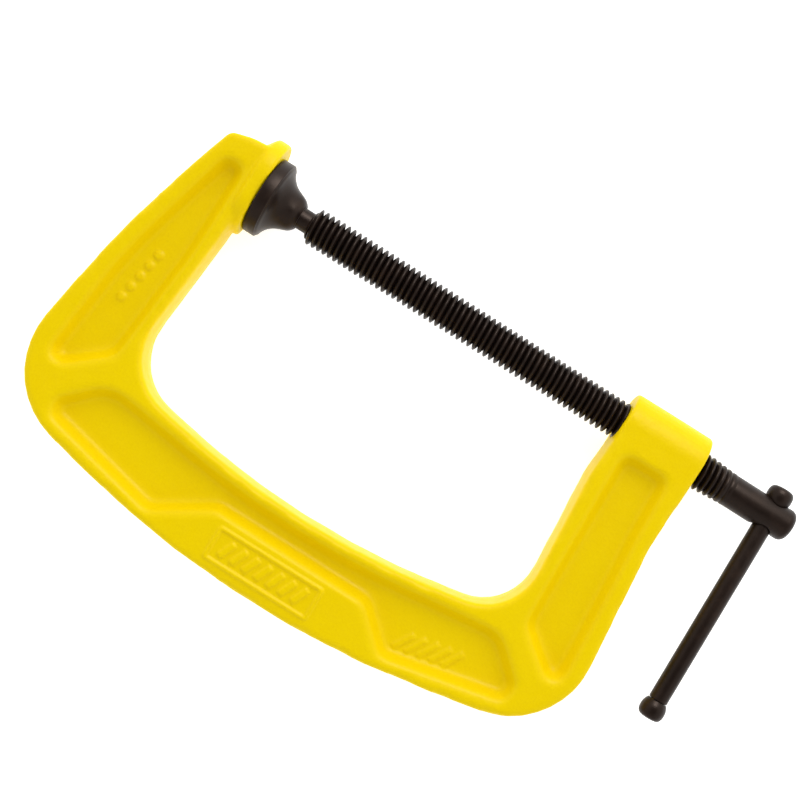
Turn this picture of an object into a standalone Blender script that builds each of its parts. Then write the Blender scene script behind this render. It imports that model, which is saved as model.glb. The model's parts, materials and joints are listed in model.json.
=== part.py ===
"""C clamp (G clamp) with a cast frame, a rolled-thread screw, a swivel pad and a sliding bar handle.

Units are metres and +Z is up. The clamp lies on its side, as on a bench. The origin is the centre
of the anvil's working face, on the screw's axis. +X runs along the screw towards the handle, and
the spine of the C lies on the -Y side. The jaws are closed.
"""

import math

import bmesh
import bpy
from mathutils import Matrix, Vector

MM = 0.001

# Jaws and frame
FRAME_DEPTH = 25.0 * MM
WEB_THICKNESS = 12.5 * MM
EDGE_ROUND = 2.0 * MM
DRAFT = 0.6 * MM  # how much wider the casting is at its parting plane, each side
PAINT = 0.2 * MM  # what the thick enamel adds to the outline
BOSS_LEFT = 170.5 * MM
BOSS_RIGHT = 205.6 * MM
BOSS_RADIUS = 12.6 * MM
BOSS_EDGE_ROUND = 0.9 * MM
BOSS_SIDES = 32
ANVIL_LENGTH = 41.6 * MM
ANVIL_WIDTH = 30.0 * MM
ANVIL_MIDDLE_Y = 1.25 * MM

# The anvil's rim as (x, outward offset), from its root in the arm to its face
ANVIL_RINGS = [
    (-9.0 * MM, -5.0 * MM),
    (-6.8 * MM, -1.8 * MM),
    (-5.4 * MM, 0.0),
    (-0.7 * MM, 0.0),
    (0.0, -0.7 * MM),
]

# The outline, the pockets and the boss are drawn in the casting's own axes. The bore is drilled a
# little off them, and the screw follows the bore.
CASTING_TURN = math.radians(0.3)
CASTING_SHIFT = (-0.9 * MM, -0.35 * MM, 0.0)
CASTING_PLACE = Matrix.Rotation(CASTING_TURN, 4, "Z") @ Matrix.Translation(CASTING_SHIFT)

# A pocket's soft wall as (share of its depth above the floor, outward offset)
POCKET_WALL = [
    (0.0, -3.7 * MM),
    (0.12, -2.6 * MM),
    (0.5, -1.2 * MM),
    (0.88, 0.2 * MM),
    (1.0, 1.2 * MM),
    (1.05, 1.6 * MM),
]

# Screw: one rolled piece, from the ball in the pad to the head with the cross hole
PITCH = 2.54 * MM
THREAD_SHIFT = -0.33 * MM  # where the thread's crests lie along X, with the jaws closed
CREST_RADIUS = 7.8 * MM
ROOT_RADIUS = 5.5 * MM
SHANK_RADIUS = 6.7 * MM
NECK_RADIUS = 4.5 * MM
BALL_RADIUS = 5.7 * MM
BALL_BACK = 168  # degrees from +X at which the ball ends in a small flat
BALL_X = 11.1 * MM
THREAD_START = 22.7 * MM
THREAD_END = 221.5 * MM
LEAD_IN = 0.5 * PITCH
RUN_OUT = 5.0 * PITCH
HEAD_END = 249.3 * MM
HEAD_ROUND = 3.0 * MM
CROSS_HOLE_X = 239.4 * MM
CROSS_HOLE_RADIUS = 4.8 * MM
CROSS_HOLE_FLARE = 1.1 * MM
THREAD_SIDES = 12

# Swivel pad, swaged over the ball
PAD_RADIUS = 16.3 * MM
PAD_END = 17.7 * MM
PAD_MOUTH_RADIUS = 4.95 * MM
GAP = 0.3 * MM
THREAD_CLEARANCE = 0.4 * MM

# Bar handle with a pressed cap on each end
BAR_RADIUS = 3.95 * MM
BAR_LEAN = math.radians(1.5)  # the bar hangs slightly off square in its loose hole
CAP_RADIUS = 5.3 * MM
CAP_LENGTH = 7.8 * MM
CAP_TOP_Y = 12.2 * MM  # outer end of the upper cap, which rests on the mouth of the cross hole
BAR_OVERALL = 106.6 * MM
SPIGOT_RADIUS = 2.8 * MM
SPIGOT_LENGTH = 5.2 * MM

# Keys of the points along a turned profile: those of a thread lie between these two
KEY_BEFORE_THREAD = -1000
KEY_AFTER_THREAD = 1000

# How finely an outline's corner is drawn, and the least number of steps in a long curve
ARC_STEP = math.radians(10)
LONG_RADIUS = 100 * MM
LONG_ARC_STEPS = 6
LEAST_RADIUS = 0.2 * MM

# Corners of the frame's outline as (x, y, corner radius) in millimetres, counter-clockwise
FRAME_CORNERS = [
    (-21.3, 13.6, 4.0),
    (-37.4, -37.6, 440.0),
    (-49.3, -117.4, 35.0),
    (75.4, -148.4, 395.0),
    (213.1, -120.7, 34.5),
    (204.7, -36.0, 60.0),
    (205.6, -10.0, 40.0),
    (205.6, 0.5, 0.6),
    (170.7, 0.5, 0.6),
    (170.7, -10.0, 12.0),
    (169.9, -25.0, 40.0),
    (174.8, -89.6, 23.0),
    (83.3, -106.8, 345.0),
    (-8.5, -88.7, 25.0),
    (-3.0, -22.0, 30.0),
    (-3.0, 16.8, 0.8),
    (-12.5, 16.0, 12.0),
]

# Corners of the three pockets' rims on each side of the web, in the same way
POCKETS = {
    "anvil_arm": [
        (-17.8, 4.6, 4.4),
        (-31.4, -46.0, 200.0),
        (-37.4, -105.5, 5.0),
        (-12.8, -84.8, 7.0),
        (-8.8, -36.0, 150.0),
        (-8.5, 4.6, 4.2),
    ],
    "spine": [
        (-8.0, -96.0, 16.0),
        (-24.0, -111.8, 3.5),
        (-22.0, -118.2, 4.0),
        (29.5, -130.0, 6.0),
        (53.0, -115.2, 6.0),
        (121.5, -115.2, 6.0),
        (137.5, -130.0, 5.0),
        (187.8, -119.2, 4.5),
        (190.0, -112.0, 6.0),
        (173.0, -97.0, 13.0),
        (83.0, -108.3, 400.0),
    ],
    "boss_arm": [
        (176.7, -11.0, 4.5),
        (179.7, -88.4, 7.0),
        (204.3, -108.0, 5.0),
        (198.3, -36.0, 150.0),
        (197.3, -11.0, 4.5),
    ],
}

YELLOW_PAINT = (0.85, 0.60, 0.0)
BLACK_FINISH = (0.022, 0.020, 0.019)


def clear_scene():
    for item in list(bpy.data.objects):
        bpy.data.objects.remove(item, do_unlink=True)


def material(name, colour, roughness, metallic):
    made = bpy.data.materials.new(name)
    made.use_nodes = True
    shader = made.node_tree.nodes["Principled BSDF"]
    shader.inputs["Base Color"].default_value = (*colour, 1.0)
    shader.inputs["Roughness"].default_value = roughness
    shader.inputs["Metallic"].default_value = metallic
    return made


def add_object(name, mesh, finish=None):
    item = bpy.data.objects.new(name, mesh)
    bpy.context.scene.collection.objects.link(item)
    if finish:
        mesh.materials.append(finish)
        mesh.shade_smooth()
        mesh.set_sharp_from_angle(angle=math.radians(35))
    else:
        item.hide_render = True
        item.display_type = "WIRE"
    return item


def mesh_from(name, points, faces):
    """A closed mesh from points and faces, with its faces turned outwards."""
    mesh = bpy.data.meshes.new(name)
    mesh.from_pydata([tuple(p) for p in points], [], faces)
    work = bmesh.new()
    work.from_mesh(mesh)
    bmesh.ops.recalc_face_normals(work, faces=work.faces)
    work.to_mesh(mesh)
    work.free()
    return mesh


# Outlines with rounded corners


def offset_corner(before, here, after, offset):
    """The corner where both of its sides have moved outwards by offset."""
    first = (here - before).normalized()
    second = (after - here).normalized()
    out_first = Vector((first.y, -first.x))
    out_second = Vector((second.y, -second.x))
    middle = (out_first + out_second).normalized()
    return here + middle * (offset / middle.dot(out_first))


def rounded_outline(corners, offset=0.0):
    """Points in metres along a counter-clockwise outline in millimetres, moved outwards by offset.

    The number of points doesn't depend on the offset, so two offsets of one outline bridge.
    """
    flat = [Vector((x, y)) * MM for x, y, _ in corners]
    count = len(flat)
    moved = [offset_corner(flat[i - 1], flat[i], flat[(i + 1) % count], offset) for i in range(count)]
    points = []
    for i in range(count):
        into = (flat[i] - flat[i - 1]).normalized()
        out = (flat[(i + 1) % count] - flat[i]).normalized()
        turn = math.atan2(into.cross(out), into.dot(out))
        bend = math.copysign(1.0, turn)
        radius = max(corners[i][2] * MM + offset * bend, LEAST_RADIUS)
        tangent = radius * math.tan(abs(turn) / 2)
        start = moved[i] - into * tangent
        centre = start + Vector((-into.y, into.x)) * (bend * radius)
        steps = max(2, math.ceil(abs(turn) / ARC_STEP))
        if radius > LONG_RADIUS:
            steps = max(steps, LONG_ARC_STEPS)
        for step in range(steps + 1):
            spin = Matrix.Rotation(turn * step / steps, 2)
            points.append(centre + spin @ (start - centre))
    return points


def side_plane(point, level):
    return Vector((point.x, point.y, level))


def cross_plane(point, level):
    """Puts an outline drawn in Y and Z at a level along X."""
    return Vector((level, point.x, point.y))


def stepped_prism(name, corners, rings, place=side_plane):
    """A solid with one outline, whose rings are (level, outward offset), from low to high."""
    points = []
    for level, offset in rings:
        points += [place(p, level) for p in rounded_outline(corners, offset)]
    count = len(points) // len(rings)
    faces = [list(range(count))]
    for ring in range(len(rings) - 1):
        for i in range(count):
            low, next_low = ring * count + i, ring * count + (i + 1) % count
            faces.append([low, next_low, next_low + count, low + count])
    faces.append(list(range(len(points) - count, len(points))))
    return mesh_from(name, points, faces)


# Turned shapes and the thread


def turned_columns(profile, sides):
    return [[(key, x, r) for key, (x, r) in enumerate(profile)] for _ in range(sides)]


def thread_columns(before, after, sides, clearance=0.0):
    """Columns of a turned shape that carries a right-hand V thread between two profiles.

    Each column holds (key, x, radius). Roots have even keys and crests odd ones, and a column is
    a part of a pitch further along than the one before it, so the crests join up as a helix.
    """
    start, end = before[-1][0], after[0][0]
    middle = (CREST_RADIUS + ROOT_RADIUS) / 2
    height = (CREST_RADIUS - ROOT_RADIUS) / 2
    columns = []
    for column in range(sides):
        rows = [(KEY_BEFORE_THREAD + key, x, r) for key, (x, r) in enumerate(before)]
        first = math.ceil(2 * ((start - THREAD_SHIFT) / PITCH - column / sides) + 0.1)
        last = math.floor(2 * ((end - THREAD_SHIFT) / PITCH - column / sides) - 0.1)
        for key in range(first, last + 1):
            x = (key / 2 + column / sides) * PITCH + THREAD_SHIFT
            full = min(1.0, (x - start) / LEAD_IN, (end - x) / RUN_OUT)
            swing = height if key % 2 else -height
            shank = SHANK_RADIUS if end - x < RUN_OUT else ROOT_RADIUS
            radius = shank + full * (middle + swing - shank)
            rows.append((key, x, radius + clearance))
        rows += [(KEY_AFTER_THREAD + key, x, r) for key, (x, r) in enumerate(after)]
        columns.append(rows)
    return columns


def zip_columns(name, columns, lead_keys=0):
    """Joins neighbouring columns into a closed tube with flat ends.

    lead_keys is how many keys a thread gains in one turn. The plain ends gain none.
    """
    sides = len(columns)
    points, index = [], []
    for column, rows in enumerate(columns):
        angle = 2 * math.pi * column / sides
        index.append([])
        for _, x, radius in rows:
            index[-1].append(len(points))
            points.append(Vector((x, radius * math.cos(angle), radius * math.sin(angle))))
    faces = []
    for column in range(sides):
        here, there = columns[column], columns[(column + 1) % sides]
        shift = lead_keys if column == sides - 1 else 0
        a = b = 0
        while a < len(here) - 1 or b < len(there) - 1:
            key_a = here[a + 1][0] if a < len(here) - 1 else math.inf
            key_b = there[b + 1][0] if b < len(there) - 1 else math.inf
            if KEY_BEFORE_THREAD / 2 < key_b < KEY_AFTER_THREAD:
                key_b -= shift
            corner = [index[column][a], index[(column + 1) % sides][b]]
            if key_a <= key_b:
                a += 1
                corner.insert(0, index[column][a])
            if key_b <= key_a:
                b += 1
                corner.append(index[(column + 1) % sides][b])
            faces.append(corner)
    faces.append([column[0] for column in index])
    faces.append([column[-1] for column in index])
    return mesh_from(name, points, faces)


def arc_profile(centre_x, radius, start, end, steps, centre_r=0.0):
    """Profile points (x, r) on an arc, with its angles in degrees from +X."""
    made = []
    for step in range(steps + 1):
        angle = math.radians(start + (end - start) * step / steps)
        made.append((centre_x + radius * math.cos(angle), centre_r + radius * math.sin(angle)))
    return made


def turned(name, profile, sides):
    return zip_columns(name, turned_columns(profile, sides))


# Modifiers


def boolean(item, cutter, operation):
    modifier = item.modifiers.new(f"{operation.lower()}_{cutter.name}", "BOOLEAN")
    modifier.operation = operation
    modifier.object = cutter


# Pieces


def edge_rounded(end, inwards, radius, rounding):
    """Profile points of a rounded edge, from the end face inwards along X."""
    return [
        (end, radius - rounding),
        (end + inwards * 0.3 * rounding, radius - 0.3 * rounding),
        (end + inwards * rounding, radius),
    ]


def add_cast_shape(name, mesh, finish=None):
    """An object drawn in the casting's own axes."""
    mesh.transform(CASTING_PLACE)
    return add_object(name, mesh, finish)


def make_frame(finish):
    half, web = FRAME_DEPTH / 2, WEB_THICKNESS / 2
    lip = EDGE_ROUND * 0.3
    rings = [
        (-half, -EDGE_ROUND),
        (-half + lip, -lip),
        (-half + EDGE_ROUND, 0.0),
        (0.0, DRAFT),
        (half - EDGE_ROUND, 0.0),
        (half - lip, -lip),
        (half, -EDGE_ROUND),
    ]
    painted = [(level, offset + PAINT) for level, offset in rings]
    frame = add_cast_shape("frame", stepped_prism("frame", FRAME_CORNERS, painted), finish)

    for pocket, corners in POCKETS.items():
        for side in (-1, 1):
            levels = [(side * (web + share * (half - web)), offset) for share, offset in POCKET_WALL]
            name = f"pocket_{pocket}_{'top' if side > 0 else 'bottom'}"
            boolean(frame, add_cast_shape(name, stepped_prism(name, corners, levels)), "DIFFERENCE")

    boss_profile = edge_rounded(BOSS_LEFT, 1, BOSS_RADIUS, BOSS_EDGE_ROUND)
    boss_profile += reversed(edge_rounded(BOSS_RIGHT, -1, BOSS_RADIUS, BOSS_EDGE_ROUND))
    boolean(frame, add_cast_shape("boss", turned("boss", boss_profile, BOSS_SIDES)), "UNION")

    half_length, half_width = ANVIL_LENGTH / 2 / MM, ANVIL_WIDTH / 2 / MM
    middle = ANVIL_MIDDLE_Y / MM
    corner_radius = half_width - 0.1
    anvil_corners = [
        (middle + half_length, -half_width, corner_radius),
        (middle + half_length, half_width, corner_radius),
        (middle - half_length, half_width, corner_radius),
        (middle - half_length, -half_width, corner_radius),
    ]
    anvil_mesh = stepped_prism("anvil", anvil_corners, ANVIL_RINGS, cross_plane)
    boolean(frame, add_object("anvil", anvil_mesh), "UNION")

    past_boss = 10 * MM
    before = [(BOSS_LEFT - past_boss, ROOT_RADIUS + THREAD_CLEARANCE)]
    after = [(BOSS_RIGHT + past_boss, ROOT_RADIUS + THREAD_CLEARANCE)]
    bore = zip_columns("bore", thread_columns(before, after, THREAD_SIDES, THREAD_CLEARANCE), 2)
    boolean(frame, add_object("bore", bore), "DIFFERENCE")
    return frame


def make_screw(finish):
    """Ball, neck, thread, plain shank and head, with the cross hole for the bar."""
    neck_angle = math.degrees(math.asin(NECK_RADIUS / BALL_RADIUS))
    before = arc_profile(BALL_X, BALL_RADIUS, BALL_BACK, neck_angle, 6)
    before += [(THREAD_START - 0.2 * MM, NECK_RADIUS), (THREAD_START, ROOT_RADIUS - 0.1 * MM)]
    after = [(THREAD_END, SHANK_RADIUS)]
    after += [(HEAD_END - HEAD_ROUND, SHANK_RADIUS)]
    after += [
        (HEAD_END - 0.55 * HEAD_ROUND, SHANK_RADIUS - 0.12 * HEAD_ROUND),
        (HEAD_END - 0.18 * HEAD_ROUND, SHANK_RADIUS - 0.40 * HEAD_ROUND),
        (HEAD_END, SHANK_RADIUS - 0.95 * HEAD_ROUND),
    ]
    screw = add_object("screw", zip_columns("screw", thread_columns(before, after, THREAD_SIDES), 2), finish)
    past_shank = 1.2 * MM
    mouth = SHANK_RADIUS + past_shank
    throat = SHANK_RADIUS - CROSS_HOLE_FLARE
    mouth_radius = CROSS_HOLE_RADIUS + CROSS_HOLE_FLARE + past_shank
    hole_profile = [
        (-mouth, mouth_radius),
        (-throat, CROSS_HOLE_RADIUS),
        (throat, CROSS_HOLE_RADIUS),
        (mouth, mouth_radius),
    ]
    mesh = turned("cross_hole", hole_profile, 20)
    mesh.transform(Matrix.Translation((CROSS_HOLE_X, 0, 0)) @ Matrix.Rotation(math.pi / 2, 4, "Z"))
    boolean(screw, add_object("cross_hole", mesh), "DIFFERENCE")
    return screw


def make_pad(finish):
    """A turned disc with a socket that closes round the screw's ball."""
    socket = BALL_RADIUS + GAP
    mouth_angle = math.degrees(math.asin(PAD_MOUTH_RADIUS / socket))
    inside = [(PAD_END, PAD_MOUTH_RADIUS)]
    inside += arc_profile(BALL_X, socket, mouth_angle, BALL_BACK, 7)
    edge = 0.8 * MM
    outside = [
        (GAP, PAD_RADIUS - edge),
        (GAP + edge, PAD_RADIUS),
        (5.6 * MM, PAD_RADIUS),
        (6.2 * MM, 15.2 * MM),
        (6.9 * MM, 13.8 * MM),
        (7.8 * MM, 12.1 * MM),
        (8.9 * MM, 10.6 * MM),
        (10.3 * MM, 9.5 * MM),
        (11.8 * MM, 8.9 * MM),
        (13.2 * MM, 8.4 * MM),
        (14.6 * MM, 7.9 * MM),
        (15.9 * MM, 7.1 * MM),
        (16.9 * MM, 6.2 * MM),
        (PAD_END, 5.5 * MM),
    ]
    return add_object("swivel_pad", turned("swivel_pad", outside + inside, 28), finish)


def bar_frame():
    """The bar's own axis: its local X points up through the hole, along +Y."""
    return Matrix.Translation((CROSS_HOLE_X, 0, 0)) @ Matrix.Rotation(math.pi / 2 + BAR_LEAN, 4, "Z")


def make_bar(finish):
    top, bottom = CAP_TOP_Y, CAP_TOP_Y - BAR_OVERALL
    shoulder = CAP_LENGTH + GAP
    profile = [
        (bottom + CAP_LENGTH - SPIGOT_LENGTH, SPIGOT_RADIUS),
        (bottom + shoulder, SPIGOT_RADIUS),
        (bottom + shoulder, BAR_RADIUS),
        (top - shoulder, BAR_RADIUS),
        (top - shoulder, SPIGOT_RADIUS),
        (top - CAP_LENGTH + SPIGOT_LENGTH, SPIGOT_RADIUS),
    ]
    mesh = turned("handle_bar", profile, 20)
    mesh.transform(bar_frame())
    return add_object("handle_bar", mesh, finish)


def make_cap(name, end, inwards, finish):
    """A barrel-shaped cap from its outer end at local x = end, with a blind bore for the spigot."""
    length, depth = CAP_LENGTH, SPIGOT_LENGTH + GAP
    outside = [
        (0.0, 0.45 * CAP_RADIUS),
        (0.04 * length, 0.70 * CAP_RADIUS),
        (0.18 * length, 0.90 * CAP_RADIUS),
        (0.36 * length, 0.99 * CAP_RADIUS),
        (0.52 * length, CAP_RADIUS),
        (0.68 * length, 0.95 * CAP_RADIUS),
        (0.84 * length, 0.80 * CAP_RADIUS),
        (length, BAR_RADIUS + 0.1 * MM),
    ]
    bore = SPIGOT_RADIUS + GAP
    inside = [(length, bore), (length - depth, bore)]
    profile = [(end + inwards * x, r) for x, r in outside + inside]
    mesh = turned(name, profile, 24)
    mesh.transform(bar_frame())
    return add_object(name, mesh, finish)


def main():
    clear_scene()
    yellow = material("painted_iron", YELLOW_PAINT, 0.45, 0.0)
    black = material("blackened_steel", BLACK_FINISH, 0.42, 0.6)
    make_frame(yellow)
    make_screw(black)
    make_pad(black)
    make_bar(black)
    make_cap("bar_cap_upper", CAP_TOP_Y, -1, black)
    make_cap("bar_cap_lower", CAP_TOP_Y - BAR_OVERALL, 1, black)


main()
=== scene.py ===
# %% [markdown]
# # A C clamp, from its working model to its finished look
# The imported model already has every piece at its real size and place, with plain faceted shapes.
# Here each piece is modelled again at the quality that the eye expects: a soft-edged iron casting
# under yellow enamel, and a screw, pad and sliding bar in blackened steel.
# Every new piece rides on the same moving body as the plain piece that it stands for.

# %% Load the fixed frame
import json
import math

import bpy
from mathutils import Matrix, Vector

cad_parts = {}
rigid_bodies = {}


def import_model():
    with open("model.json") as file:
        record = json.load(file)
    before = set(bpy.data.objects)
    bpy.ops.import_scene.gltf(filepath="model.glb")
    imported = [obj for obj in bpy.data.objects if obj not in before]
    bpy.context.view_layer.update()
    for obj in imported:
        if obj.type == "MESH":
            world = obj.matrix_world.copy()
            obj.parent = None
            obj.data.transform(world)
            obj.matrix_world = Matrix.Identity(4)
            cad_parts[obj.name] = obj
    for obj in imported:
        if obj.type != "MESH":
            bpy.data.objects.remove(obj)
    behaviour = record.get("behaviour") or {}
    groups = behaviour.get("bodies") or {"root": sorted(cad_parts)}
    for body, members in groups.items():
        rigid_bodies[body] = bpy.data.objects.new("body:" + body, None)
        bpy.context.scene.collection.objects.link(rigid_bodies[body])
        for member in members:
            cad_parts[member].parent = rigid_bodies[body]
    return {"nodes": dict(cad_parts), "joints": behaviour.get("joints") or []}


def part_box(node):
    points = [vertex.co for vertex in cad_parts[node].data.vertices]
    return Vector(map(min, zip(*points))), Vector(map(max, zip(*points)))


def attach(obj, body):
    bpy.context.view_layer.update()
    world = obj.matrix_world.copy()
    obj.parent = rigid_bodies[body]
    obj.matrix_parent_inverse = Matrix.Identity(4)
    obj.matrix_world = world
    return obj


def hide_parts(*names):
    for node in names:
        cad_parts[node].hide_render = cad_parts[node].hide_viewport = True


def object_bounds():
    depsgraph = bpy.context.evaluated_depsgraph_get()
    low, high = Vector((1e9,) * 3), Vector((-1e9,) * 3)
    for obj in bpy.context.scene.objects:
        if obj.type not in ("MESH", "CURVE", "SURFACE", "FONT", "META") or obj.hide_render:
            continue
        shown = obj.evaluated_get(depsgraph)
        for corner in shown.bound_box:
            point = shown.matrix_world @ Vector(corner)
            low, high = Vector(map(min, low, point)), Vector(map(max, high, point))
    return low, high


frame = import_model()
cad_low, cad_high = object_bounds()
bpy.context.scene.view_settings.view_transform = "Standard"
print("model box in mm:", [round(1000 * side, 1) for side in cad_high - cad_low])

# %% [markdown]
# ## Measures
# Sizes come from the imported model: the box of each piece says where the screw's axis runs, how long
# its head is and how far the bar reaches. A few proportions that a box can't tell, such as the
# thread's pitch, are stated once, in metres, with the model's own values. The casting lies a third of
# a degree off the screw's axis, as a casting does, so it has a place of its own.

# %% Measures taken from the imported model
MM = 0.001
screw_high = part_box("screw")[1]
pad_low, pad_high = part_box("swivel_pad")
upper_cap_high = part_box("bar_cap_upper")[1]
lower_cap_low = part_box("bar_cap_lower")[0]
slide = next(joint for joint in frame["joints"] if joint["name"] == "bar_slide")
bar_direction = Vector(slide["axis"]).normalized()

crest_radius = screw_high.z
pad_radius = pad_high.z
print("thread across its crests:", round(2000 * crest_radius, 2), "mm")

# %% Proportions that the boxes don't hold
HALF_DEPTH = 12.5 * MM
CASTING_TURN = 0.3  # degrees between the screw's axis and the casting's own
CASTING_SHIFT = (-0.9 * MM, -0.35 * MM, 0)
PITCH = 2.54 * MM
THREAD_SHIFT = -0.33 * MM
ROOT_RADIUS = 5.5 * MM
SHANK_RADIUS = 6.7 * MM
NECK_RADIUS = 4.5 * MM
BALL_RADIUS = 5.7 * MM
BALL_X = 11.1 * MM
THREAD_START = 22.7 * MM
THREAD_END = 221.5 * MM
BOSS_LEFT = 169.6 * MM
BOSS_RIGHT = 204.7 * MM
BAR_RADIUS = 3.95 * MM
CAP_RADIUS = 5.3 * MM
CAP_LENGTH = 7.8 * MM
CROSS_HOLE_X = 239.4 * MM
CROSS_HOLE_RADIUS = 4.8 * MM
TINY = 1e-6

casting_turn = Matrix.Rotation(math.radians(CASTING_TURN), 4, "Z")
casting_place = casting_turn @ Matrix.Translation(CASTING_SHIFT)

# %% [markdown]
# ## Working by hand, in code
# Blender's operators act on whatever is selected, so two small helpers come first: one leaves a
# single object selected, the other applies a modifier to it. A third one puts an object's place and
# turn into its mesh, because every finished piece has its object at the origin.


# %% Selecting, applying and settling
def pick(item):
    """Leaves this object alone selected and active."""
    bpy.ops.object.select_all(action="DESELECT")
    item.select_set(True)
    bpy.context.view_layer.objects.active = item


def add_modifier(item, kind, **settings):
    """Adds a modifier with its settings and applies it."""
    pick(item)
    modifier = item.modifiers.new(kind.lower(), kind)
    for name, value in settings.items():
        setattr(modifier, name, value)
    bpy.ops.object.modifier_apply(modifier=modifier.name)


def settle(item, place=None):
    """Puts the object's place, turn and size into its mesh."""
    if place is not None:
        item.matrix_world = place
    pick(item)
    bpy.ops.object.transform_apply(location=True, rotation=True, scale=True)


def cut_away(item, cutter):
    """Takes the cutter's shape out of the item, and removes the cutter."""
    add_modifier(item, "BOOLEAN", operation="DIFFERENCE", object=cutter, solver="EXACT")
    bpy.data.objects.remove(cutter)


def report(item):
    item.data.calc_loop_triangles()
    print(item.name, "has", len(item.data.loop_triangles), "triangles")


# %% [markdown]
# ## Turning
# The pad, the bar and its caps are turned on a lathe. In Blender the same shape comes from a flat
# disc that is extruded along the axis from station to station, and resized at each one. A station is
# a place along X and a radius. Going back along X hollows the piece, which is how the socket is made.


# %% A lathe made of extrude and resize
def draw_out(here, stations):
    """In edit mode, extrudes the selected end face from its station to each of the next ones."""
    x, radius = here
    for next_x, next_radius in stations:
        bpy.ops.mesh.extrude_region_move(TRANSFORM_OT_translate={"value": (next_x - x, 0, 0)})
        growth = next_radius / radius
        bpy.ops.transform.resize(value=(1, growth, growth), center_override=(next_x, 0, 0))
        x, radius = next_x, next_radius


def turn_on_lathe(name, stations, sides=96):
    """A closed shape turned about the X axis."""
    bpy.ops.object.select_all(action="DESELECT")
    bpy.ops.mesh.primitive_circle_add(
        vertices=sides, radius=stations[0][1], fill_type="NGON",
        location=(stations[0][0], 0, 0), rotation=(0, math.pi / 2, 0),
    )
    item = bpy.context.object
    item.name = name
    settle(item)
    bpy.ops.object.mode_set(mode="EDIT")
    bpy.ops.mesh.select_all(action="SELECT")
    draw_out(stations[0], stations[1:])
    bpy.ops.mesh.select_all(action="SELECT")
    bpy.ops.mesh.normals_make_consistent(inside=False)
    bpy.ops.object.mode_set(mode="OBJECT")
    return item


def arc(centre, radius, start, end, steps=8):
    """Stations on an arc in the (x, radius) plane, with its angles in degrees from +X."""
    made = []
    for step in range(steps + 1):
        angle = math.radians(start + (end - start) * step / steps)
        made.append((centre[0] + radius * math.cos(angle), centre[1] + radius * math.sin(angle)))
    return made


def smooth_by_angle(item, degrees=32):
    pick(item)
    bpy.ops.object.shade_smooth_by_angle(angle=math.radians(degrees))


# %% [markdown]
# ## Colours and nodes
# Colours are written as sRGB hex values, as in any paint program, and one function turns them to the
# linear values that a shader needs. One helper adds a node, its settings and its links. Patterns are
# drawn on Object coordinates, which are metres here, so a pattern that repeats every millimetre has
# a scale of 1000.


# %% Colours and the node helper
def linear(code):
    """An sRGB hex colour as linear red, green, blue and alpha."""
    parts = [int(code[i:i + 2], 16) / 255 for i in (1, 3, 5)]
    return [p / 12.92 if p <= 0.04045 else ((p + 0.055) / 1.055) ** 2.4 for p in parts] + [1.0]


def add_node(tree, kind, settings=None, inputs=None):
    """Adds a node. Inputs are values, or outputs of other nodes to link from."""
    node = tree.nodes.new(kind)
    for name, value in (settings or {}).items():
        setattr(node, name, value)
    for name, value in (inputs or {}).items():
        if isinstance(value, bpy.types.NodeSocket):
            tree.links.new(value, node.inputs[name])
        else:
            node.inputs[name].default_value = value
    return node


def new_material(name):
    """A material with an empty Principled shader, its node tree, and where the pattern is measured."""
    made = bpy.data.materials.new(name)
    made.use_nodes = True
    tree = made.node_tree
    place = add_node(tree, "ShaderNodeTexCoord").outputs["Object"]
    return made, tree, tree.nodes["Principled BSDF"], place


def ramp(tree, value, stops):
    """A colour ramp from (position, hex colour) stops."""
    node = add_node(tree, "ShaderNodeValToRGB", inputs={"Fac": value})
    shades = node.color_ramp.elements
    for shade, (position, code) in zip(shades, (stops[0], stops[-1])):
        shade.position = position
        shade.color = linear(code)
    for position, code in stops[1:-1]:
        shades.new(position).color = linear(code)
    return node.outputs["Color"]


# %% [markdown]
# ## Yellow enamel on a sand casting
# The frame is grey iron cast in sand and dipped or sprayed with a thick enamel. The sand leaves a
# pebbled skin of about a millimetre, and the enamel rounds it to something like orange peel. So the
# colour is almost even, a little darker in the low spots of the sand grain, where its bump sinks, and
# what catches the eye is the soft mottling of the light: two noises in the bump, one for the sand and
# one for the flow. Under an even light such a paint hardly glints, so its specular level is set low.

# %% The enamel
SAND_GRAIN = 0.9 * MM
PAINT_FLOW = 3.2 * MM
PAINT_DRIFT = 28 * MM


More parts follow.
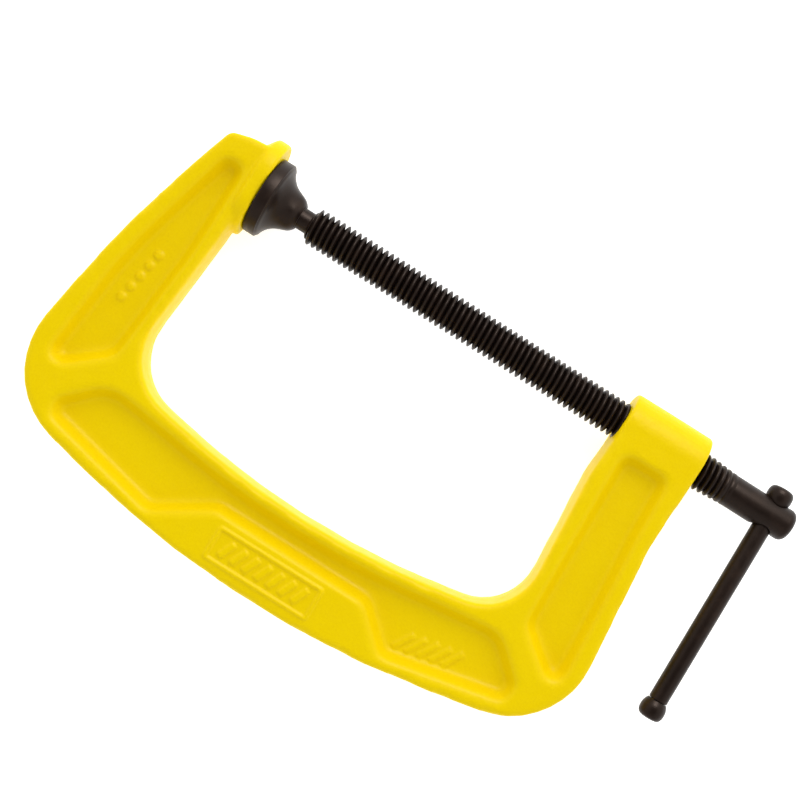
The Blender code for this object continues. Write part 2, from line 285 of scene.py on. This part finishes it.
def yellow_enamel_on_cast_iron():
    made, tree, shader, place = new_material("yellow_enamel_on_cast_iron")
    drift = add_node(tree, "ShaderNodeTexNoise", inputs={
        "Vector": place, "Scale": 1 / PAINT_DRIFT, "Detail": 3.0, "Roughness": 0.5})
    sand = add_node(tree, "ShaderNodeTexNoise", inputs={
        "Vector": place, "Scale": 1 / SAND_GRAIN, "Detail": 2.5, "Roughness": 0.55})
    flow = add_node(tree, "ShaderNodeTexNoise", inputs={
        "Vector": place, "Scale": 1 / PAINT_FLOW, "Detail": 2.0, "Roughness": 0.5})
    even = ramp(tree, drift.outputs["Fac"], [(0.35, "#EECD00"), (0.65, "#F0D100")])
    # The sand noise also sets the colour: darker where it is low, which is where its bump sinks.
    pits = ramp(tree, sand.outputs["Fac"], [(0.30, "#E9C700"), (0.50, "#EFCF00"), (0.72, "#F3D601")])
    colour = add_node(tree, "ShaderNodeMix", {"data_type": "RGBA"}, {"Factor": 0.45})
    tree.links.new(even, colour.inputs["A"])
    tree.links.new(pits, colour.inputs["B"])
    tree.links.new(colour.outputs["Result"], shader.inputs["Base Color"])
    gloss = add_node(tree, "ShaderNodeMapRange", inputs={
        "Value": flow.outputs["Fac"], "From Min": 0.3, "From Max": 0.7, "To Min": 0.32, "To Max": 0.42})
    tree.links.new(gloss.outputs["Result"], shader.inputs["Roughness"])
    coarse = add_node(tree, "ShaderNodeBump", inputs={
        "Strength": 0.55, "Distance": 0.22 * MM, "Height": flow.outputs["Fac"]})
    fine = add_node(tree, "ShaderNodeBump", inputs={
        "Strength": 0.50, "Distance": 0.10 * MM, "Height": sand.outputs["Fac"],
        "Normal": coarse.outputs["Normal"]})
    tree.links.new(fine.outputs["Normal"], shader.inputs["Normal"])
    shader.inputs["IOR"].default_value = 1.48
    shader.inputs["Specular IOR Level"].default_value = 0.075
    return made


ENAMEL = yellow_enamel_on_cast_iron()

# %% [markdown]
# ## Blackened steel
# Screw, pad, bar and caps are mild steel with a black oxide finish, sealed with oil. The oxide is a
# thin, warm black skin that keeps the marks of the tool below it. It looks satin: dark from most
# sides, with one broad grey sheen where the light falls. Where pieces rub, the skin is thinner and a
# little browner. A turned piece also carries fine rings from the lathe, so one function makes both
# finishes, and the rings are drawn wider than real ones so that they show.

# %% Black oxide, rolled or turned
OXIDE_BLOOM = 7 * MM
OXIDE_GRAIN = 0.45 * MM
TOOL_RINGS = 0.5 * MM


def black_oxide_steel(name, rings=False):
    made, tree, shader, place = new_material(name)
    bloom = add_node(tree, "ShaderNodeTexNoise", inputs={
        "Vector": place, "Scale": 1 / OXIDE_BLOOM, "Detail": 4.0, "Roughness": 0.6})
    grain = add_node(tree, "ShaderNodeTexNoise", inputs={
        "Vector": place, "Scale": 1 / OXIDE_GRAIN, "Detail": 2.0, "Roughness": 0.5})
    colour = ramp(tree, bloom.outputs["Fac"], [(0.3, "#140D0A"), (0.55, "#1A110D"), (0.75, "#241811")])
    tree.links.new(colour, shader.inputs["Base Color"])
    satin = add_node(tree, "ShaderNodeMapRange", inputs={
        "Value": bloom.outputs["Fac"], "From Min": 0.3, "From Max": 0.7, "To Min": 0.30, "To Max": 0.42})
    tree.links.new(satin.outputs["Result"], shader.inputs["Roughness"])
    skin = add_node(tree, "ShaderNodeBump", inputs={
        "Strength": 0.35, "Distance": 0.05 * MM, "Height": grain.outputs["Fac"]})
    normal = skin.outputs["Normal"]
    if rings:
        marks = add_node(tree, "ShaderNodeTexWave", {"wave_type": "BANDS", "bands_direction": "X"}, {
            "Vector": place, "Scale": 1 / (TOOL_RINGS * 2 * math.pi) * 2, "Distortion": 0.4, "Detail": 1.0})
        turned = add_node(tree, "ShaderNodeBump", inputs={
            "Strength": 0.18, "Distance": 0.03 * MM, "Height": marks.outputs["Fac"], "Normal": normal})
        normal = turned.outputs["Normal"]
    tree.links.new(normal, shader.inputs["Normal"])
    shader.inputs["Specular IOR Level"].default_value = 0.21
    shader.inputs["Specular Tint"].default_value = linear("#FFE6D6")
    return made


ROLLED_STEEL = black_oxide_steel("black_oxide_rolled_steel")
TURNED_STEEL = black_oxide_steel("black_oxide_turned_steel", rings=True)

# %% [markdown]
# ## The screw's thread
# A rolled thread has rounded crests and narrow roots. One pitch of its outline is drawn as a line of
# points, and the Screw modifier sweeps that line round the axis, one pitch further for each turn, so
# that every turn ends where the next one begins. The result is an endless threaded sleeve. Two changes
# make it a real screw: near its ends the thread sinks into a plain round shaft, and then the sleeve is
# cut square and closed with the bisect tool.

# %% Sweep a threaded sleeve and close its ends
OUTLINE_POINTS = 14
FULLNESS = 2.0  # 1 is a sharp V, and more gives a rounder crest over a narrower root
LEAD_IN = 0.5 * PITCH
RUN_OUT = 5.0 * PITCH


def thread_radius(turn):
    """The radius at a share of one pitch, with the crest at a half."""
    height = 1 - abs(2 * turn - 1) ** FULLNESS
    return ROOT_RADIUS + height * (crest_radius - ROOT_RADIUS)


def threaded_sleeve(name, start, end, steps=48, clearance=0.0, fade=True):
    """A closed threaded rod from start to end along X."""
    first = math.floor(start / PITCH) - 1
    left = first * PITCH + THREAD_SHIFT
    turns = math.ceil(end / PITCH) + 1 - first
    mesh = bpy.data.meshes.new(name)
    shares = [i / OUTLINE_POINTS for i in range(OUTLINE_POINTS + 1)]
    points = [(left + share * PITCH, thread_radius(share) + clearance, 0) for share in shares]
    edges = [(i, i + 1) for i in range(OUTLINE_POINTS)]
    mesh.from_pydata(points, edges, [])
    rod = bpy.data.objects.new(name, mesh)
    bpy.context.scene.collection.objects.link(rod)
    add_modifier(rod, "SCREW", axis="X", screw_offset=PITCH, iterations=turns, steps=steps,
                 render_steps=steps, use_merge_vertices=True, merge_threshold=TINY)
    if fade:
        sink_ends_of_thread(rod, start, end)
    bpy.ops.object.mode_set(mode="EDIT")
    for x, side in ((start, -1), (end, 1)):
        bpy.ops.mesh.select_all(action="SELECT")
        bpy.ops.mesh.bisect(plane_co=(x, 0, 0), plane_no=(side, 0, 0), use_fill=True, clear_outer=True,
                            threshold=TINY)
    bpy.ops.mesh.select_all(action="SELECT")
    bpy.ops.mesh.remove_doubles(threshold=TINY)
    bpy.ops.mesh.normals_make_consistent(inside=False)
    bpy.ops.object.mode_set(mode="OBJECT")
    return rod


def sink_ends_of_thread(rod, start, end):
    """The thread grows out of its root at the start, and sinks into the shank at the end."""
    for vertex in rod.data.vertices:
        x = vertex.co.x
        radius = math.hypot(vertex.co.y, vertex.co.z)
        plain = SHANK_RADIUS if end - x < RUN_OUT else ROOT_RADIUS
        full = max(0.0, min(1.0, (x - start) / LEAD_IN, (end - x) / RUN_OUT))
        share = (plain + full * (radius - plain)) / radius
        vertex.co.y *= share
        vertex.co.z *= share


# %% [markdown]
# ## The rest of the screw
# The thread's two flat ends are drawn out by the same extrude and resize as on the lathe: the neck and
# the ball nose to the left, and the plain shank and the head with its rounded end to the right. The
# cross hole is cut last, with a cutter whose ends flare, as the mouths of a punched hole do.


# %% Select an end face and draw it out
FACE_TOLERANCE = 0.01 * MM
NECK_STEP = 0.3 * MM
HEAD_ROUNDING = 3.0 * MM
BALL_BACK = 168  # degrees, where the ball's outline stops just short of its pole
BALL_STEPS = 12


def select_end_face(item, x):
    """In edit mode, leaves only the flat faces at this x selected."""
    bpy.ops.mesh.select_mode(type="FACE")
    bpy.ops.mesh.select_all(action="DESELECT")
    bpy.ops.object.mode_set(mode="OBJECT")
    for face in item.data.polygons:
        face.select = abs(face.center.x - x) < FACE_TOLERANCE and abs(face.normal.x) > 0.99
    bpy.ops.object.mode_set(mode="EDIT")


def make_screw():
    screw = threaded_sleeve("clamp_screw", THREAD_START, THREAD_END)
    neck_angle = math.degrees(math.asin(NECK_RADIUS / BALL_RADIUS))
    pick(screw)
    bpy.ops.object.mode_set(mode="EDIT")
    select_end_face(screw, THREAD_START)
    nose = [
        (THREAD_START - 0.2 * MM, ROOT_RADIUS - NECK_STEP),
        (THREAD_START - NECK_STEP, NECK_RADIUS + NECK_STEP),
        (THREAD_START - 2 * NECK_STEP, NECK_RADIUS),
    ]
    nose += arc((BALL_X, 0), BALL_RADIUS, neck_angle, BALL_BACK, BALL_STEPS)
    draw_out((THREAD_START, ROOT_RADIUS), nose)
    select_end_face(screw, THREAD_END)
    head_corner = (screw_high.x - HEAD_ROUNDING, SHANK_RADIUS - HEAD_ROUNDING)
    head = arc(head_corner, HEAD_ROUNDING, 90, 6, 9)
    draw_out((THREAD_END, SHANK_RADIUS), head)
    bpy.ops.object.mode_set(mode="OBJECT")
    cut_away(screw, cross_hole_cutter())
    smooth_by_angle(screw, 40)
    return screw


def cross_hole_cutter():
    """A round cutter across the head, with mouths that flare."""
    flare = 1.5 * MM
    reach = SHANK_RADIUS + 2.6 * MM
    centre = (SHANK_RADIUS - flare + 0.2 * MM, CROSS_HOLE_RADIUS + flare)
    outward = arc(centre, flare, 270, 360, 6)
    outward.append((reach, CROSS_HOLE_RADIUS + flare))
    inward = [(-x, r) for x, r in reversed(outward)]
    cutter = turn_on_lathe("cross_hole_cutter", inward + outward, 64)
    settle(cutter, Matrix.Translation((CROSS_HOLE_X, 0, 0)) @ Matrix.Rotation(math.pi / 2, 4, "Z"))
    return cutter


screw = make_screw()
screw.data.materials.append(ROLLED_STEEL)
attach(screw, "screw")
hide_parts("screw")
report(screw)

# %% [markdown]
# ## The swivel pad
# The pad is a turned disc with a hollow flank that rises to a collar. After the screw's ball is put in,
# the collar is squeezed round it in a press with six jaws, and each jaw leaves a shallow hollow. The
# disc and socket come off the lathe, and the hollows are pressed in afterwards by moving the collar's
# outer points towards the axis.

# %% Turn the pad
DISC_THICKNESS = 5.3 * MM
DISC_EDGE = 0.5 * MM
FLANK_RADIUS = 10.34 * MM
COLLAR_RADIUS = 5.5 * MM
SOCKET_RADIUS = BALL_RADIUS + 0.3 * MM
MOUTH_RADIUS = 4.95 * MM


def make_pad():
    face, end = pad_low.x, pad_high.x
    rim = face + DISC_THICKNESS
    flank_centre = (rim + 10.46 * MM, pad_radius + 2.03 * MM)
    collar_centre = (end - 5.0 * MM, 2.9 * MM)
    mouth_angle = math.degrees(math.asin(MOUTH_RADIUS / SOCKET_RADIUS))
    outside = arc((face + DISC_EDGE, pad_radius - DISC_EDGE), DISC_EDGE, 180, 90, 4)
    outside += arc((rim - DISC_EDGE, pad_radius - DISC_EDGE), DISC_EDGE, 90, 0, 4)
    outside += arc(flank_centre, FLANK_RADIUS, 197.6, 246, 12)
    outside += arc(collar_centre, COLLAR_RADIUS, 80, 30, 8)
    outside += [(end, COLLAR_RADIUS), (end, MOUTH_RADIUS)]
    socket = arc((BALL_X, 0), SOCKET_RADIUS, mouth_angle, BALL_BACK, BALL_STEPS)
    return turn_on_lathe("clamp_pad", outside + socket, 96)


# %% Press its collar
COLLAR_JAWS = 6
PRESS_START = 12.6 * MM
PRESS_LENGTH = 5.6 * MM
PRESS_DEPTH = 0.045  # as a share of the radius
SOCKET_NARROWS = 16.5 * MM


def is_inside_socket(x, radius):
    wall = 6.05 * MM if x < SOCKET_NARROWS else 5.2 * MM
    return radius < wall


def press_collar(pad):
    """The press squeezes the collar's outside in, most under the middle of each of its jaws."""
    for vertex in pad.data.vertices:
        x, radius = vertex.co.x, math.hypot(vertex.co.y, vertex.co.z)
        if x < PRESS_START or is_inside_socket(x, radius):
            continue
        angle = math.atan2(vertex.co.z, vertex.co.y)
        jaw = (1 + math.cos(COLLAR_JAWS * angle)) / 2
        along = math.sin(math.pi * min(1.0, (x - PRESS_START) / PRESS_LENGTH))
        share = 1 - PRESS_DEPTH * jaw * along
        vertex.co.y *= share
        vertex.co.z *= share


pad = make_pad()
press_collar(pad)
smooth_by_angle(pad, 28)
pad.data.materials.append(TURNED_STEEL)
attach(pad, "pad")
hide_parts("swivel_pad")
report(pad)

# %% [markdown]
# ## The sliding bar and its caps
# The bar is plain round steel, turned down at both ends where the caps are pressed on. A cap is a
# barrel: widest a little past its middle, rounded at its outer end, and drawn in towards the bar. Both
# are turned along X first and then laid along the bar's own direction, which the slide joint gives.

# %% Where the bar lies
bar_turn = math.atan2(bar_direction.y, bar_direction.x)
bar_place = Matrix.Translation((CROSS_HOLE_X, 0, 0)) @ Matrix.Rotation(bar_turn, 4, "Z")
bar_top = upper_cap_high.y / bar_direction.y
bar_bottom = lower_cap_low.y / bar_direction.y
print("bar over its caps:", round((bar_top - bar_bottom) * 1000, 1), "mm")

# %% Turn the bar and the caps
SPIGOT_RADIUS = 2.8 * MM
SPIGOT_LENGTH = 4.9 * MM
BAR_EASE = 0.4 * MM
BORE_RADIUS = 3.1 * MM
BORE_DEPTH = 5.5 * MM
CAP_STEPS = 7
CAP_GAP = 0.3 * MM


def make_bar():
    low = bar_bottom + CAP_LENGTH + CAP_GAP
    high = bar_top - CAP_LENGTH - CAP_GAP
    eased = BAR_RADIUS - BAR_EASE
    stations = [(low - SPIGOT_LENGTH, SPIGOT_RADIUS), (low, SPIGOT_RADIUS), (low, eased)]
    stations += arc((low + BAR_EASE, eased), BAR_EASE, 180, 90, 4)
    stations += arc((high - BAR_EASE, eased), BAR_EASE, 90, 0, 4)
    stations += [(high, SPIGOT_RADIUS), (high + SPIGOT_LENGTH, SPIGOT_RADIUS)]
    bar = turn_on_lathe("sliding_bar", stations, 64)
    settle(bar, bar_place)
    return bar


def make_cap(name, end, inwards):
    """A barrel-shaped cap with a blind bore, from its outer end inwards along the bar."""
    belly = 0.5 * CAP_LENGTH
    collar = BAR_RADIUS + 0.1 * MM
    outline = [(0.0, 0.35 * CAP_RADIUS), (0.01 * CAP_LENGTH, 0.50 * CAP_RADIUS)]
    for step in range(1, CAP_STEPS + 1):
        angle = math.radians(12 + 78 * step / CAP_STEPS)
        outline.append((belly * (1 - math.cos(angle) ** 0.85), CAP_RADIUS * math.sin(angle) ** 0.42))
    for step in range(1, CAP_STEPS + 1):
        share = step / CAP_STEPS
        drawn_in = CAP_RADIUS - (CAP_RADIUS - collar) * share ** 2.2
        outline.append((belly + (CAP_LENGTH - belly) * share, drawn_in))
    outline += [(CAP_LENGTH, BORE_RADIUS), (CAP_LENGTH - BORE_DEPTH, BORE_RADIUS)]
    cap = turn_on_lathe(name, [(end + inwards * x, r) for x, r in outline], 64)
    settle(cap, bar_place)
    return cap


bar_pieces = {
    "handle_bar": make_bar(),
    "bar_cap_upper": make_cap("upper_cap", bar_top, -1),
    "bar_cap_lower": make_cap("lower_cap", bar_bottom, 1),
}
for node, piece in bar_pieces.items():
    smooth_by_angle(piece, 40)
    piece.data.materials.append(ROLLED_STEEL)
    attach(piece, "bar")
    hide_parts(node)
    report(piece)

# %% [markdown]
# ## The frame casting
# A casting has no sharp edge: molten iron doesn't fill one, and the paint rounds what is left. The
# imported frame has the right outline, pockets and boss, in flat facets. A copy of it is remeshed into
# fine even squares and smoothed, which melts its edges into fillets, as the foundry's pattern has.
# The threaded hole would melt too, so it is plugged first and cut again at the end.

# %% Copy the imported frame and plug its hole
FINE_MESH = 0.55 * MM
EDGE_SMOOTHING = 6
PLUG_RADIUS = 8.6 * MM
PLUG_INSET = 0.05 * MM


def copy_of_frame():
    source = frame["nodes"]["frame"]
    body = bpy.data.objects.new("clamp_frame", source.data.copy())
    bpy.context.scene.collection.objects.link(body)
    body.data.materials.clear()
    pick(body)
    bpy.ops.object.mode_set(mode="EDIT")
    bpy.ops.mesh.select_all(action="SELECT")
    bpy.ops.mesh.remove_doubles(threshold=TINY)
    bpy.ops.object.mode_set(mode="OBJECT")
    return body


def join_into(body, parts):
    bpy.ops.object.select_all(action="DESELECT")
    for part in parts:
        part.select_set(True)
    body.select_set(True)
    bpy.context.view_layer.objects.active = body
    bpy.ops.object.join()


body = copy_of_frame()
plug_ends = (BOSS_LEFT + PLUG_INSET, BOSS_RIGHT - PLUG_INSET)
plug = turn_on_lathe("plug", [(x, PLUG_RADIUS) for x in plug_ends], 64)
join_into(body, [plug])
add_modifier(body, "REMESH", mode="VOXEL", voxel_size=FINE_MESH, adaptivity=0.0)
add_modifier(body, "SMOOTH", factor=0.5, iterations=EDGE_SMOOTHING)
report(body)

# %% [markdown]
# ## Soft pocket walls
# The pockets' walls are softer than the outer edges: they run from the flat rim to the web in one long
# S. The walls are the sloping faces between the web and the rim, so they are picked by height and
# slope, the choice is grown by a few rings of faces, and only that part is smoothed further.

# %% Pick the pocket walls and melt them
WALL_SMOOTHING = 70
WALL_RINGS = 6
WALL_HEIGHTS = (6.8 * MM, 10.6 * MM)
WALL_SLOPES = (0.25, 0.96)
POCKET_TOP = 9 * MM
BOSS_CORNER = (165 * MM, -7 * MM)


def is_pocket_wall(face):
    x, y, z = face.center
    at_height = WALL_HEIGHTS[0] < abs(z) < WALL_HEIGHTS[1]
    sloping = WALL_SLOPES[0] < abs(face.normal.z) < WALL_SLOPES[1]
    near_boss = x > BOSS_CORNER[0] and y > BOSS_CORNER[1]
    return at_height and sloping and y < POCKET_TOP and not near_boss


def melt_pocket_walls(body, rings):
    pick(body)
    bpy.ops.object.mode_set(mode="EDIT")
    bpy.ops.mesh.select_mode(type="FACE")
    bpy.ops.mesh.select_all(action="DESELECT")
    bpy.ops.object.mode_set(mode="OBJECT")
    for face in body.data.polygons:
        face.select = is_pocket_wall(face)
    bpy.ops.object.mode_set(mode="EDIT")
    for _ in range(rings):
        bpy.ops.mesh.select_more()
    body.vertex_groups.new(name="pocket_walls")
    bpy.ops.object.vertex_group_assign()
    bpy.ops.object.mode_set(mode="OBJECT")
    add_modifier(body, "SMOOTH", factor=0.5, iterations=WALL_SMOOTHING, vertex_group="pocket_walls")


melt_pocket_walls(body, WALL_RINGS)

# %% [markdown]
# ## Unevenness of the casting
# Sand moves a little under the metal, so a cast face is never flat. A Displace modifier with a soft
# cloud pattern, a centimetre or two across, moves the skin by a tenth of a millimetre or so.

# %% Let the skin wander
CAST_WAVE = 16 * MM
CAST_WAVE_DEPTH = 0.25 * MM


def wander(item, depth):
    clouds = bpy.data.textures.new("casting_unevenness", "CLOUDS")
    clouds.noise_scale = CAST_WAVE
    clouds.noise_depth = 1
    add_modifier(item, "DISPLACE", texture=clouds, texture_coords="LOCAL", strength=depth, mid_level=0.5)


wander(body, CAST_WAVE_DEPTH)

# %% [markdown]
# ## Raised marks
# Foundries raise marks on a casting by gluing them to the pattern. This clamp has a framed badge on the
# spine, a second mark in the spine's pocket and a small one in the anvil arm's pocket. Here they are
# plain shapes: a border round seven slanted bars, five more slanted bars, and five round pips. Each is
# a primitive with softened edges, sunk a little into the face that it stands on.

# %% Bars, pips and the border
RELIEF = 0.75 * MM
SUNK = 0.6 * MM
POCKET_FLOOR = 6.25 * MM
MARK_ROUNDING = 0.3  # as a share of the relief


def raised_bar(length, width, place):
    """A bar along its own Y, standing on the face at z = 0 of its place."""
    bpy.ops.object.select_all(action="DESELECT")
    bpy.ops.mesh.primitive_cube_add(size=1)
    item = bpy.context.object
    item.scale = (width, length, RELIEF + SUNK)
    item.location = (0, 0, (RELIEF - SUNK) / 2)
    settle(item)
    bpy.ops.object.mode_set(mode="EDIT")
    bpy.ops.mesh.select_all(action="SELECT")
    bpy.ops.mesh.bevel(offset=MARK_ROUNDING * RELIEF, segments=2)
    bpy.ops.object.mode_set(mode="OBJECT")
    settle(item, place)
    return item


def raised_pip(radius, place):
    bpy.ops.object.select_all(action="DESELECT")
    bpy.ops.mesh.primitive_cylinder_add(vertices=32, radius=radius, depth=RELIEF + SUNK,
                                        location=(0, 0, (RELIEF - SUNK) / 2))
    item = bpy.context.object
    settle(item)
    bpy.ops.object.mode_set(mode="EDIT")
    bpy.ops.mesh.select_all(action="SELECT")
    bpy.ops.mesh.bevel(offset=MARK_ROUNDING * RELIEF, segments=2)
    bpy.ops.object.mode_set(mode="OBJECT")
    settle(item, place)
    return item


def on_face(x, y, z, turn=0.0):
    """A place on the casting, in millimetres along its own axes, turned by degrees."""
    spot = Matrix.Translation(Vector((x, y, z)) * MM)
    return casting_place @ spot @ Matrix.Rotation(math.radians(turn), 4, "Z")


# %% Where the marks stand, in millimetres and degrees
BADGE = {"x": 81.6, "y": -126.3, "length": 46.5, "height": 12.9, "line": 1.1}
BADGE_BARS = {"length": 7.6, "width": 2.3, "spacing": 5.6, "slant": -24}
SPINE_MARK = {"x": 153.0, "y": -118.4, "length": 9.6, "width": 2.2, "spacing": 5.2, "rise": 11, "slant": -30}
ARM_PIPS = {"x": -22.2, "y": -53.5, "radius": 1.7, "step_x": 1.0, "step_y": 5.4}


def badge_marks(z):
    """A border with seven plain slanted bars in it."""
    marks = []
    x, y, line = BADGE["x"], BADGE["y"], BADGE["line"] * MM
    half_long, half_high = BADGE["length"] / 2, BADGE["height"] / 2
    for side in (-1, 1):
        marks.append(raised_bar(BADGE["length"] * MM, line, on_face(x, y + side * half_high, z, 90)))
        marks.append(raised_bar(BADGE["height"] * MM, line, on_face(x + side * half_long, y, z)))
    for step in range(-3, 4):
        place = on_face(x + BADGE_BARS["spacing"] * step, y, z, BADGE_BARS["slant"])
        marks.append(raised_bar(BADGE_BARS["length"] * MM, BADGE_BARS["width"] * MM, place))
    return marks


def spine_marks(z):
    """Five slanted bars in a row that rises a little."""
    marks = []
    rise = math.radians(SPINE_MARK["rise"])
    for step in range(-2, 3):
        along = SPINE_MARK["spacing"] * step
        x, y = SPINE_MARK["x"] + along * math.cos(rise), SPINE_MARK["y"] + along * math.sin(rise)
        place = on_face(x, y, z, SPINE_MARK["slant"])
        marks.append(raised_bar(SPINE_MARK["length"] * MM, SPINE_MARK["width"] * MM, place))
    return marks


def pip_marks(z):
    """Five round pips in a row along the arm."""
    marks = []
    for step in range(-2, 3):
        x, y = ARM_PIPS["x"] + ARM_PIPS["step_x"] * step, ARM_PIPS["y"] + ARM_PIPS["step_y"] * step
        marks.append(raised_pip(ARM_PIPS["radius"] * MM, on_face(x, y, z)))
    return marks


marks = badge_marks(HALF_DEPTH / MM) + spine_marks(POCKET_FLOOR / MM) + pip_marks(POCKET_FLOOR / MM)
print(len(marks), "raised marks")
join_into(body, marks)
add_modifier(body, "REMESH", mode="VOXEL", voxel_size=FINE_MESH, adaptivity=0.0)
add_modifier(body, "SMOOTH", factor=0.5, iterations=1)
report(body)

# %% [markdown]
# ## Thin the mesh and cut the thread
# The even squares are far more than the flat faces need. Decimate collapses them where the surface is
# nearly flat and keeps them in the fillets and marks. Then a threaded cutter, with the same pitch as the
# screw and a little clearance, cuts the boss.

# %% Decimate, tap the hole and finish the frame
TRIANGLE_LIMIT = 185000
TAP_OVERRUN = 5 * MM
TAP_CLEARANCE = 0.3 * MM


def thin_out(item):
    item.data.calc_loop_triangles()
    share = TRIANGLE_LIMIT / len(item.data.loop_triangles)
    if share < 1:
        add_modifier(item, "DECIMATE", ratio=share)


thin_out(body)
tap = threaded_sleeve("tap", BOSS_LEFT - TAP_OVERRUN, BOSS_RIGHT + TAP_OVERRUN,
                      steps=32, clearance=TAP_CLEARANCE, fade=False)
cut_away(body, tap)
pick(body)
bpy.ops.object.shade_smooth()
body.data.materials.clear()
body.data.materials.append(ENAMEL)
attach(body, "frame")
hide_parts("frame")
report(body)

# %% [markdown]
# ## The light table
# Small tools are often shown on a light table: a white sheet that glows a little from below, so that
# shadows stay faint. The clamp lies on it on its side, with the pad's rim lowest.

# %% Floor
centre = (cad_low + cad_high) / 2
FLOOR_SIZE = 40.0
FLOOR_GAP = 0.05 * MM
FLOOR_GLOW = 0.68


def light_table():
    bpy.ops.object.select_all(action="DESELECT")
    bpy.ops.mesh.primitive_plane_add(size=FLOOR_SIZE, location=(centre.x, centre.y, cad_low.z - FLOOR_GAP))
    floor = bpy.context.object
    floor.name = "light_table"
    made, _, shader, _ = new_material("opal_acrylic")
    shader.inputs["Base Color"].default_value = linear("#F4F4F4")
    shader.inputs["Roughness"].default_value = 0.6
    shader.inputs["Emission Color"].default_value = (1, 1, 1, 1)
    shader.inputs["Emission Strength"].default_value = FLOOR_GLOW
    shader.inputs["Specular IOR Level"].default_value = 0.2
    floor.data.materials.append(made)


light_table()

# %% [markdown]
# ## Light
# Most of the light is a white tent: an even sky, brighter on the +Y side, beyond the screw. It has a
# darker round opening straight above, where the camera looks in, so that the flat faces mirror little
# and keep their full colour. One large soft window stands beyond the screw, about 40 degrees up, and
# brightens the pocket walls that face it. Next to it is a card that shows only in reflections, and
# gives the black steel its single broad sheen.


# %% Lights and sky
def area_light(name, place, target, size, power):
    data = bpy.data.lights.new(name, "AREA")
    data.shape = "SQUARE"
    data.size = size
    data.energy = power
    lamp = bpy.data.objects.new(name, data)
    bpy.context.scene.collection.objects.link(lamp)
    lamp.location = place
    lamp.rotation_euler = (Vector(target) - Vector(place)).to_track_quat("-Z", "Y").to_euler()
    return lamp


WINDOW_PLACE = Vector((0.05, 0.75, 0.62))
WINDOW_SIZE = 0.75
WINDOW_POWER = 1.8
CARD_PLACE = Vector((0.0, 0.62, 0.60))
CARD_SIZE = 0.42
CARD_POWER = 5.6
TENT_DIM = 0.91
TENT_BRIGHT = 1.50
HATCH = 0.20  # how bright the tent still is straight above, where it opens for the camera
area_light("window_light", centre + WINDOW_PLACE, centre, WINDOW_SIZE, WINDOW_POWER)
card = area_light("sheen_card", centre + CARD_PLACE, centre, CARD_SIZE, CARD_POWER)
card.visible_diffuse = False


def tent():
    """An even sky, brighter on the window's side and dark where it opens for the camera."""
    world = bpy.data.worlds.new("light_tent")
    bpy.context.scene.world = world
    world.use_nodes = True
    tree = world.node_tree
    towards = add_node(tree, "ShaderNodeTexCoord").outputs["Generated"]
    parts = add_node(tree, "ShaderNodeSeparateXYZ", inputs={"Vector": towards})
    bright = add_node(tree, "ShaderNodeMapRange", inputs={
        "Value": parts.outputs["Y"], "From Min": -0.6, "From Max": 0.8,
        "To Min": TENT_DIM, "To Max": TENT_BRIGHT})
    hatch = add_node(tree, "ShaderNodeMapRange", {"interpolation_type": "SMOOTHSTEP"}, {
        "Value": parts.outputs["Z"], "From Min": 0.74, "From Max": 0.95, "To Min": 1.0, "To Max": HATCH})
    strength = add_node(tree, "ShaderNodeMath", {"operation": "MULTIPLY"})
    tree.links.new(bright.outputs["Result"], strength.inputs[0])
    tree.links.new(hatch.outputs["Result"], strength.inputs[1])
    tree.links.new(strength.outputs["Value"], tree.nodes["Background"].inputs["Strength"])
    tree.nodes["Background"].inputs["Color"].default_value = (1, 1, 1, 1)


tent()

# %% [markdown]
# ## Camera
# The camera looks straight down on the clamp from a little over half a metre, and is rolled so that
# the screw runs down to the right.

# %% Camera
CAMERA_PLACE = (0.09027, -0.04020, 0.580)
CAMERA_ROLL = 32.42
LENS = 65.25

camera_data = bpy.data.cameras.new("camera")
camera_data.sensor_width = 36
camera_data.lens = LENS
camera = bpy.data.objects.new("camera", camera_data)
bpy.context.scene.collection.objects.link(camera)
camera.location = CAMERA_PLACE
camera.rotation_euler = (0, 0, math.radians(CAMERA_ROLL))
bpy.context.scene.camera = camera
